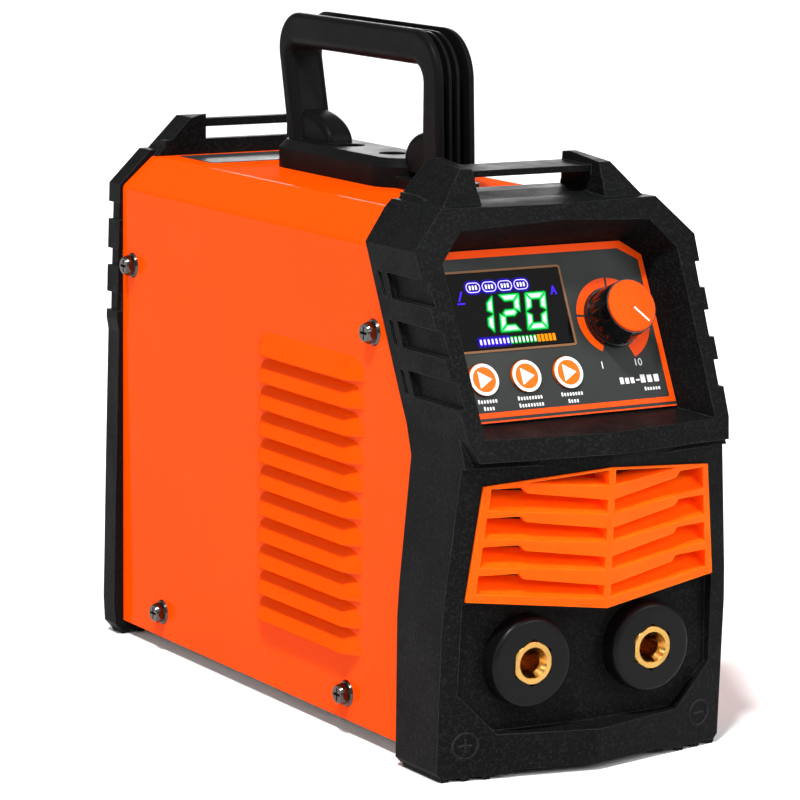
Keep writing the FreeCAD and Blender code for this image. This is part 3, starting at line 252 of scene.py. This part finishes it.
def winding_material(name, color, pitch):
    """Wire or tape wound in even turns."""
    m = Mat(name, color, rough=0.35)
    wave = m.node("ShaderNodeTexWave", bands_direction="Z")
    wave.inputs["Scale"].default_value = pitch
    m.link(m.object, wave.inputs["Vector"])
    m.color(m.mix(wave.outputs["Fac"], color, tuple(c * 0.6 for c in color)))
    m.bump([(wave.outputs["Fac"], 0.5, 0.3)])
    return m.mat


ORANGE_EDGE_WEAR_AND_HIGHLIGHT = (0.95, 0.25, 0.02)                         # rubbed corners of the orange plastic, and a painted highlight along every edge


def make_materials():
    """One material for each slot of the record."""
    bumper = moulded("bumper_black", (0.0035, 0.0037, 0.0038), 1300, (0.4, 0.56), 0.55,
                     (0.085, 0.088, 0.09), 0.6, 0.035, 0.45)
    grille = moulded("grille_orange", (0.97, 0.085, 0.0006), 1800, (0.4, 0.52), 0.08, ORANGE_EDGE_WEAR_AND_HIGHLIGHT, 0.5, 0.06)
    knob = moulded("knob_black", (0.002, 0.002, 0.0022), 1700, (0.1, 0.15), 0.03,
                   (0.03, 0.03, 0.03), 0.3, 0.3)
    cap = moulded("knob_orange", (0.94, 0.06, 0.0006), 2000, (0.36, 0.46), 0.04, ORANGE_EDGE_WEAR_AND_HIGHLIGHT, 0.3, 0.06)
    socket = moulded("socket_black", (0.003, 0.003, 0.0032), 1500, (0.3, 0.44), 0.2,
                     (0.04, 0.04, 0.04), 0.4, 0.12)
    handle = moulded("handle_black", (0.0033, 0.0034, 0.0034), 1300, (0.34, 0.48), 0.3,
                     (0.03, 0.031, 0.032), 0.8, 0.04, 0.1)
    screw = metal("screw_black", (0.11, 0.105, 0.1), (0.14, 0.26), 700, 0.12, (0.025, 0.022, 0.02))
    heatsink = metal("heatsink_aluminium", (0.74, 0.75, 0.77), (0.3, 0.5), 300, 0.1, None, (1, 0.05, 1))
    return {
        "casing_orange": enamel("casing_orange", (0.94, 0.07, 0.0006)),
        "screw_black": screw,
        "bumper_black": bumper,
        "grille_orange": translucent_with_painted_glow(grille, 0.6, 9.0),
        "overlay_black": film("overlay_black", (0.021, 0.024, 0.022), 0.5, specular=0.2),
        "window_black": film("window_black", (0.0006, 0.0006, 0.0008), 0.12, 400, 0.02, 0.03),
        "module_black": moulded("module_black", (0.02, 0.02, 0.02), 1200),
        "board_green": film("board_green", (0.01, 0.09, 0.03), 0.3, 600, 0.2),
        "plated_steel": metal("plated_steel", (0.62, 0.62, 0.6), (0.25, 0.45), 400, 0.1),
        "knob_black": knob,
        "knob_orange": cap,
        "pointer_white": film("pointer_white", (0.85, 0.85, 0.83), 0.4),
        "button_orange": film("button_orange", (0.94, 0.13, 0.001), 0.3, specular=0.1),
        "socket_black": socket,
        "brass": metal("brass", (0.62, 0.36, 0.1), (0.16, 0.3), 600, 0.12, (0.3, 0.15, 0.035)),
        "copper": metal("copper", (0.8, 0.38, 0.22), (0.25, 0.4), 500, 0.1),
        "handle_black": handle,
        "fan_black": moulded("fan_black", (0.012, 0.012, 0.013), 1000, (0.4, 0.55), 0.2),
        "switch_black": film("switch_black", (0.01, 0.01, 0.011), 0.3, 1200, 0.1),
        "gland_black": moulded("gland_black", (0.01, 0.01, 0.011), 900, (0.35, 0.5), 0.2),
        "heatsink_aluminium": heatsink,
        "capacitor_black": film("capacitor_black", (0.015, 0.015, 0.03), 0.25),
        "ferrite": metal("ferrite", (0.1, 0.1, 0.11), (0.5, 0.7), 500, 0.2),
        "winding_tape": winding_material("winding_tape", (0.75, 0.55, 0.08), 200),
        "choke_yellow": winding_material("choke_yellow", (0.5, 0.2, 0.07), 260),
        "label_grey": film("label_grey", (0.035, 0.037, 0.042), 0.38),
    }


materials = make_materials()
for entry in record["subparts"]:
    obj = nodes[entry["node"]]
    obj.data.materials.clear()
    obj.data.materials.append(materials[entry["material_slot"]])


# ------------------------------------------------------------------ mesh helpers
def add_piece(name, mesh, material, body):
    """A mesh as one named piece, which rides a body and stands for a material slot."""
    mesh.materials.clear()
    mesh.materials.append(material)
    piece = bpy.data.objects.new(name, mesh)
    bpy.context.scene.collection.objects.link(piece)
    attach(piece, body)


def join_plates(plates):
    """Several (points, low, high) plates with flat tops as one vertex and face list."""
    verts, faces = [], []
    for points, low, high in plates:
        start, count = len(verts), len(points)
        verts += [(x, y, low) for x, y in points] + [(x, y, high) for x, y in points]
        faces.append([start + count + i for i in range(count)])
        faces.append([start + i for i in reversed(range(count))])
        faces += [[start + i, start + (i + 1) % count, start + count + (i + 1) % count, start + count + i]
                  for i in range(count)]
    return verts, faces


def ring_plates(outer, inner, low, high):
    """Quads between two closed outlines of the same length, counter-clockwise."""
    outer_sides = zip(outer, outer[1:] + outer[:1])
    inner_sides = zip(inner, inner[1:] + inner[:1])
    return [([a, b, d, c], low, high) for (a, b), (c, d) in zip(outer_sides, inner_sides)]


def circle(cx, cy, radius, count=48):
    angles = [math.radians(360 * i / count) for i in range(count)]
    return [(cx + radius * math.cos(angle), cy + radius * math.sin(angle)) for angle in angles]


def rounded_box(cx, cy, width, height, radius, count=6):
    """Outline of a box about (cx, cy), with each corner in a number of steps."""
    points = []
    for sx, sy, start in ((1, 1, 0), (-1, 1, 90), (-1, -1, 180), (1, -1, 270)):
        x, y = cx + sx * (width / 2 - radius), cy + sy * (height / 2 - radius)
        points += [(x + radius * math.cos(math.radians(start + 90 * i / count)),
                    y + radius * math.sin(math.radians(start + 90 * i / count))) for i in range(count + 1)]
    return points


def plates_piece(name, plates, material, body="machine"):
    """Plates given in panel millimetres, as one piece."""
    verts, faces = join_plates(plates)
    mesh = bpy.data.meshes.new(name)
    mesh.from_pydata([Vector(v) * MM for v in verts], [], faces)
    mesh.transform(PANEL)
    mesh.update()
    add_piece(name, mesh, material, body)


def lettering(name, text, size, x, y, thickness, material):
    """A small figure as a thin raised mesh, centred on (x, y) of the panel."""
    curve = bpy.data.curves.new(name, "FONT")
    curve.body = text
    curve.size = size * MM
    curve.align_x, curve.align_y = "CENTER", "CENTER"
    curve.extrude = thickness / 2 * MM
    carrier = bpy.data.objects.new(name + "_curve", curve)
    bpy.context.scene.collection.objects.link(carrier)
    mesh = bpy.data.meshes.new_from_object(carrier.evaluated_get(bpy.context.evaluated_depsgraph_get()))
    bpy.data.objects.remove(carrier)
    mesh.transform(PANEL @ Matrix.Translation(Vector((x, y, thickness / 2)) * MM))
    add_piece(name, mesh, material, "machine")


# ------------------------------------------------------------------ printed panel
print_orange = film("print_orange", (0.94, 0.07, 0.001), 0.4, specular=0.1)
print_white = film("print_white", (0.8, 0.8, 0.79), 0.45)
frame_gold = film("frame_gold", (0.19, 0.085, 0.035), 0.35)
lit_green = glow("lit_green", (0.0, 0.55, 0.05), 1.0)
lit_halo = glow("lit_halo", (0.0, 0.05, 0.005), 1.0)
lit_edge = glow("lit_edge", (0.08, 0.95, 0.25), 1.0)
lit_core = glow("lit_core", (0.6, 1.0, 0.75), 1.5)
lit_blue = glow("lit_blue", (0.06, 0.02, 1.0), 1.3)
lit_amber = glow("lit_amber", (1.0, 0.3, 0.0), 1.2)
lit_haze = glow("lit_haze", (0.012, 0.006, 0.22), 1.0)
lit_white = glow("lit_white", (0.8, 0.75, 1.0), 1.5)
INK = 0.08                                               # thickness of one printed or lit layer
BORDER_HALF = 49.1


def panel_border():
    """Orange line round the panel with its two upper corners cut, over a thin line at the foot."""
    outer = [(BORDER_HALF, 2.2), (BORDER_HALF, 63.6), (40.2, 70.1),
             (-44.6, 70.1), (-BORDER_HALF, 66.9), (-BORDER_HALF, 2.2)]
    inner = [(46.7, 4.3), (46.9, 61.8), (38.3, 67.0), (-43.7, 67.0), (-46.9, 64.7), (-46.7, 4.3)]
    foot_line = [(-BORDER_HALF, 0.3), (BORDER_HALF, 0.3), (BORDER_HALF, 0.9), (-BORDER_HALF, 0.9)]
    plates = ring_plates(outer, inner, 0, INK)
    plates.append((foot_line, 0, INK))
    plates_piece("panel_border", plates, print_orange)


# ------------------------------------------------------------------ display
WINDOW_AT = (-18.6, 45.2)
SEGMENTS = {"1": "bc", "2": "abged", "0": "abcdef"}
FIGURES = (("1", -30.9), ("2", -18.5), ("0", -6.2))      # each with its place across the panel
FIGURE_Y = 43.7
FIGURE_WIDTH = 9.4
FIGURE_HEIGHT = 15.0
PILLS = (-32.7, -25.3, -18.0, -10.6)
PILL_Y = 54.9
BAR_START = -34.6
BAR_PITCH = 1.78
BAR_Y = 32.6
BLUE_TICKS = 8
GREEN_TICKS = 7
AMBER_TICKS = 5


def lamp(points, layer=0):
    """A lit shape on the display window, on a layer counted up from the glass."""
    return points, WINDOW_TOP + layer * INK, WINDOW_TOP + (layer + 1) * INK


def display_frame():
    outer = rounded_box(*WINDOW_AT, 55.4, 33.5, 1.2)
    inner = rounded_box(*WINDOW_AT, 53.7, 31.7, 0.4)
    plates = ring_plates(outer, inner, 0, WINDOW_TOP + INK)
    plates_piece("display_frame", plates, frame_gold)


def figure_segments(cx, cy, width, height, glyph, bar=2.6, slant=0.16, gap=0.25):
    """Plates of one slanted seven-segment figure."""
    w, h, t = width / 2, height / 2, bar
    cells = {
        "a": [(-w + gap, h), (w - gap, h), (w - t, h - t), (-w + t, h - t)],
        "d": [(-w + gap, -h), (-w + t, -h + t), (w - t, -h + t), (w - gap, -h)],
        "g": [(-w + t * 0.55, 0), (-w + t, t / 2), (w - t, t / 2),
              (w - t * 0.55, 0), (w - t, -t / 2), (-w + t, -t / 2)],
        "f": [(-w, h - gap), (-w + t, h - t - gap), (-w + t, t / 2 + gap), (-w, gap)],
        "b": [(w, h - gap), (w, gap), (w - t, t / 2 + gap), (w - t, h - t - gap)],
        "e": [(-w, -gap), (-w + t, -t / 2 - gap), (-w + t, -h + t + gap), (-w, -h + gap)],
        "c": [(w, -gap), (w, -h + gap), (w - t, -h + t + gap), (w - t, -t / 2 - gap)],
    }
    plates = []
    for key in SEGMENTS[glyph]:
        points = [(cx + x + slant * y, cy + y) for x, y in cells[key]]
        area = sum(a[0] * b[1] - b[0] * a[1] for a, b in zip(points, points[1:] + points[:1]))
        plates.append(lamp(points if area > 0 else points[::-1]))
    return plates


def crossing(a, b, c, d):
    """Where line a-b meets line c-d."""
    u, v = b - a, d - c
    t = ((c - a).x * v.y - (c - a).y * v.x) / (u.x * v.y - u.y * v.x)
    return a + u * t


def sides(points):
    """Each side of a closed counter-clockwise outline, with its outward direction."""
    ring = [Vector(p) for p in points]
    pairs = list(zip(ring, ring[1:] + ring[:1]))
    return [(a, b, Vector(((b - a).y, -(b - a).x)).normalized()) for a, b in pairs]


def shrunk(plates, by, lift):
    """The same convex plates drawn in by a distance, on another layer."""
    smaller = []
    for points, low, high in plates:
        lines = [(a - out * by, b - out * by) for a, b, out in sides(points)]
        ring = [tuple(crossing(*lines[i - 1], *lines[i])) for i in range(len(lines))]
        smaller.append((ring, low + lift, high + lift))
    return smaller


def swollen(plates, by, lift):
    """The same convex plates grown by a distance, with round corners, on another layer."""
    larger = []
    for points, low, high in plates:
        edges = sides(points)
        ring = []
        for (_, corner, before), (_, _, after) in zip(edges, edges[1:] + edges[:1]):
            ring += [tuple(corner + before.slerp(after, k / 3) * by) for k in range(4)]
        larger.append((ring, low + lift, high + lift))
    return larger


def lit_figures():
    """The large figures, from a dim halo on the glass up to their pale cores."""
    plates = []
    for glyph, x in FIGURES:
        plates += figure_segments(x, FIGURE_Y, FIGURE_WIDTH, FIGURE_HEIGHT, glyph)
    layers = (("halo", swollen, 0.75, lit_halo), ("figures", swollen, 0.25, lit_green),
              ("edges", shrunk, 0.15, lit_edge), ("cores", shrunk, 0.55, lit_core))
    for number, (name, change, by, material) in enumerate(layers):
        plates_piece("display_" + name, change(plates, by, number * INK), material)


def lit_symbols():
    """Four pills over the figures, each round three short bars, with a mark on either side."""
    haze_shapes = [rounded_box(x, PILL_Y, 8.3, 6.0, 2.6) for x in PILLS]
    haze_shapes.append(rounded_box(-28.4, BAR_Y, 15.6, 4.4, 1.2))
    haze = [(points, WINDOW_TOP, WINDOW_TOP + INK / 2) for points in haze_shapes]
    pills, digits = [], []
    for x in PILLS:
        pills += ring_plates(rounded_box(x, PILL_Y, 6.9, 4.6, 2.1), rounded_box(x, PILL_Y, 5.3, 3.0, 1.4),
                             WINDOW_TOP, WINDOW_TOP + INK)
        digits += [lamp(rounded_box(x + dx, PILL_Y, 0.8, 1.8, 0.2, 2)) for dx in (-1.4, 0.0, 1.4)]
        digits += ring_plates(rounded_box(x, PILL_Y, 6.4, 4.1, 1.9), rounded_box(x, PILL_Y, 5.9, 3.6, 1.7),
                              WINDOW_TOP + INK, WINDOW_TOP + 2 * INK)
    unit_mark = [lamp([(2.2, 49.8), (2.9, 49.8), (4.1, 53.4), (3.5, 53.4)]),
                 lamp([(3.5, 53.4), (4.1, 53.4), (5.2, 49.8), (4.5, 49.8)]),
                 lamp([(2.8, 50.9), (4.6, 50.9), (4.6, 51.4), (2.8, 51.4)])]
    rod_mark = [lamp([(-40.6, 49.6), (-39.9, 49.6), (-37.9, 53.6), (-38.7, 53.8)]),
                lamp(rounded_box(-39.5, 48.7, 3.6, 0.6, 0.2, 2))]
    plates_piece("display_haze", haze, lit_haze)
    plates_piece("display_symbols", pills + unit_mark + rod_mark, lit_blue)
    plates_piece("display_digits", digits, lit_white)


def lit_bar():
    """The row of ticks under the figures, in three colours; all but the last have pale cores."""
    groups = ((lit_blue, BLUE_TICKS), (lit_green, GREEN_TICKS), (lit_amber, AMBER_TICKS))
    places = [BAR_START + i * BAR_PITCH for i in range(BLUE_TICKS + GREEN_TICKS + AMBER_TICKS)]
    cores = [lamp(rounded_box(x, BAR_Y, 0.75, 2.1, 0.2, 2), 1) for x in places[:BLUE_TICKS + GREEN_TICKS]]
    plates_piece("display_bar_cores", cores, lit_white)
    for number, (material, count) in enumerate(groups):
        ticks = [lamp(rounded_box(x, BAR_Y, 1.3, 3.0, 0.2, 2)) for x in places[:count]]
        plates_piece("display_bar_%d" % number, ticks, material)
        places = places[count:]


# ------------------------------------------------------------------ keys, dial and captions
KEY_RING = (6.45, 5.15)                                  # outer and inner radius
KEY_SINK = 0.02                                          # how far the print is let into the key
DIAL_FROM = 239.5                                        # degrees, the orange arc runs clockwise
DIAL_TO = -67.5
DIAL_GAPS = ((174.6, 170.6), (88.0, 84.0))
DIAL_INSIDE = 12.8
DIAL_OUTSIDE = 15.4                                      # where the arc starts
DIAL_GROWTH = 2.7                                        # and how much wider it ends
DIAL_NUMBER_Y = 19.3
DIAL_NUMBER_SIZE = 4.2
CAPTION_ROWS = (8.9, 6.0)
CAPTION_LETTERS = ((7, 4), (9, 9), (8, 4))               # for each key, in each row


def key_faces():
    """White ring and arrow on each key, which sink with it."""
    low, high = KEY_TOP - KEY_SINK, KEY_TOP + INK
    for body, (x, y) in KEYS.items():
        outer, inner = (circle(x, y, radius) for radius in KEY_RING)
        plates_piece(body + "_ring", ring_plates(outer, inner, low, high), print_white, body)
        arrow = [(x - 2.4, y - 3.5), (x + 3.5, y), (x - 2.4, y + 3.5)]
        plates_piece(body + "_arrow", [(arrow, low, high)], print_white, body)


def dial_print():
    """Orange arc that widens towards its end, a thin ring inside it, and the two end numbers."""
    cx, cy = KNOB_AT
    starts = (DIAL_FROM, *(gap[1] for gap in DIAL_GAPS))
    ends = (*(gap[0] for gap in DIAL_GAPS), DIAL_TO)
    plates = []
    for start, end in zip(starts, ends):
        steps = round((start - end) / 3)
        for i in range(steps):
            a, b = (start + (end - start) * k / steps for k in (i, i + 1))
            growth = [DIAL_GROWTH * (DIAL_FROM - angle) / (DIAL_FROM - DIAL_TO) for angle in (a, b)]
            outer = [DIAL_OUTSIDE + wider for wider in growth]
            quad = [(cx + r * math.cos(math.radians(t)), cy + r * math.sin(math.radians(t)))
                    for r, t in ((DIAL_INSIDE, a), (outer[0], a), (outer[1], b), (DIAL_INSIDE, b))]
            plates.append((quad[::-1], 0, INK))
    plates += ring_plates(circle(cx, cy, 12.1), circle(cx, cy, 11.7), 0, INK)
    plates_piece("dial_scale", plates, print_orange)
    for name, text, x in (("dial_low", "1", 18.6), ("dial_high", "10", 35.5)):
        lettering(name, text, DIAL_NUMBER_SIZE, x, DIAL_NUMBER_Y, INK, print_white)


def caption_line(x, y, letters, height=1.35, width=0.75, pitch=1.3):
    """A row of small blocks that stands for a word, the first one taller."""
    start = x - pitch * (letters - 1) / 2
    row = []
    for i in range(letters):
        rise = 0.3 if i == 0 else 0
        row.append((rounded_box(start + pitch * i, y + rise / 2, width, height + rise, 0.2, 2), 0, INK))
    return row


def captions():
    plates = []
    for (x, _), words in zip(KEYS.values(), CAPTION_LETTERS):
        for row, letters in zip(CAPTION_ROWS, words):
            plates += caption_line(x, row, letters)
    plates += caption_line(28.5, 12.2, 3, 2.4, 1.7, 2.5) + caption_line(39.2, 12.4, 3, 3.0, 2.2, 3.2)
    plates.append((rounded_box(33.6, 12.2, 1.8, 0.6, 0.2, 2), 0, INK))
    plates += caption_line(39.5, 8.2, 6, 1.2)
    plates_piece("key_captions", plates, print_white)


panel_border()
display_frame()
lit_figures()
lit_symbols()
lit_bar()
key_faces()
dial_print()
captions()


# ------------------------------------------------------------------ floor, light and camera
def stage():
    """Pale paper floor under an even white surround."""
    paper = (0.88, 0.88, 0.88)
    m = Mat("floor", paper, rough=0.7, specular=0.1)
    m.color(m.mix(m.grey(m.noise(1.5, 2), 0.0, 1.0), paper, (0.865, 0.865, 0.868)))
    mesh = bpy.data.meshes.new("floor")
    mesh.from_pydata([(-6, -6, 0), (6, -6, 0), (6, 6, 0), (-6, 6, 0)], [], [(0, 1, 2, 3)])
    mesh.materials.append(m.mat)
    floor = bpy.data.objects.new("floor", mesh)
    bpy.context.scene.collection.objects.link(floor)

    world = bpy.data.worlds.new("studio")
    bpy.context.scene.world = world
    world.use_nodes = True
    background = world.node_tree.nodes["Background"]
    background.inputs["Color"].default_value = (1, 1, 1, 1)
    background.inputs["Strength"].default_value = 0.3


def light(name, kind, position, target, power, **settings):
    data = bpy.data.lights.new(name, kind)
    data.energy = power
    for key, value in settings.items():
        setattr(data, key, value)
    source = bpy.data.objects.new(name, data)
    source.location = position
    source.visible_camera = False
    source.rotation_euler = (Vector(target) - Vector(position)).to_track_quat("-Z", "Y").to_euler()
    bpy.context.scene.collection.objects.link(source)


def lights():
    """A steep key from the front left, soft fill and top, and small lamps for the highlights."""
    middle = (0, 0, 0.12)
    light("key", "SUN", (-0.85, -0.75, 2.15), middle, 3.6, angle=math.radians(6))
    light("fill", "SUN", (0.9, -1.7, 1.3), middle, 1.0, angle=math.radians(30))
    light("top", "SUN", (0.0, 0.4, 2.0), middle, 0.3, angle=math.radians(60))
    light("spot_left", "AREA", (-1.7, -0.5, 0.9), middle, 4.0, shape="RECTANGLE", size=0.1, size_y=0.5)
    light("spot_front", "AREA", (-0.7, -1.8, 1.2), middle, 6.0, shape="RECTANGLE", size=0.16, size_y=0.16)
    light("sheen", "AREA", (1.11, -1.83, 0.76), middle, 5.0, shape="RECTANGLE", size=0.35, size_y=0.35)
    light("rim", "AREA", (1.0, 1.7, 0.72), (0, 0, 0.24), 7.0, shape="RECTANGLE", size=0.7, size_y=0.35)


CAMERA_AZIMUTH = -30.89
CAMERA_ELEVATION = 9.867
CAMERA_ROLL = 0.661
CAMERA_DISTANCE = 1.6066
CAMERA_TARGET = Vector((0, 0, 0.1235))
CAMERA_ZOOM = 4.7723


def camera():
    azimuth, elevation = math.radians(CAMERA_AZIMUTH), math.radians(CAMERA_ELEVATION)
    level = math.cos(elevation)
    back = Vector((math.sin(azimuth) * level, -math.cos(azimuth) * level, math.sin(elevation)))
    right = Vector((math.cos(azimuth), math.sin(azimuth), 0))
    upward = back.cross(right)
    roll = math.radians(CAMERA_ROLL)
    x_axis = right * math.cos(roll) + upward * math.sin(roll)
    y_axis = upward * math.cos(roll) - right * math.sin(roll)
    matrix = Matrix((x_axis, y_axis, back)).transposed().to_4x4()
    matrix.translation = CAMERA_TARGET + back * CAMERA_DISTANCE
    data = bpy.data.cameras.new("camera")
    data.sensor_width = 36.0
    data.lens = 36.0 * CAMERA_ZOOM
    data.clip_start, data.clip_end = 0.05, 50
    view = bpy.data.objects.new("camera", data)
    view.matrix_world = matrix
    bpy.context.scene.collection.objects.link(view)
    bpy.context.scene.camera = view


stage()
lights()
camera()
bpy.context.scene.view_settings.view_transform = "Standard"
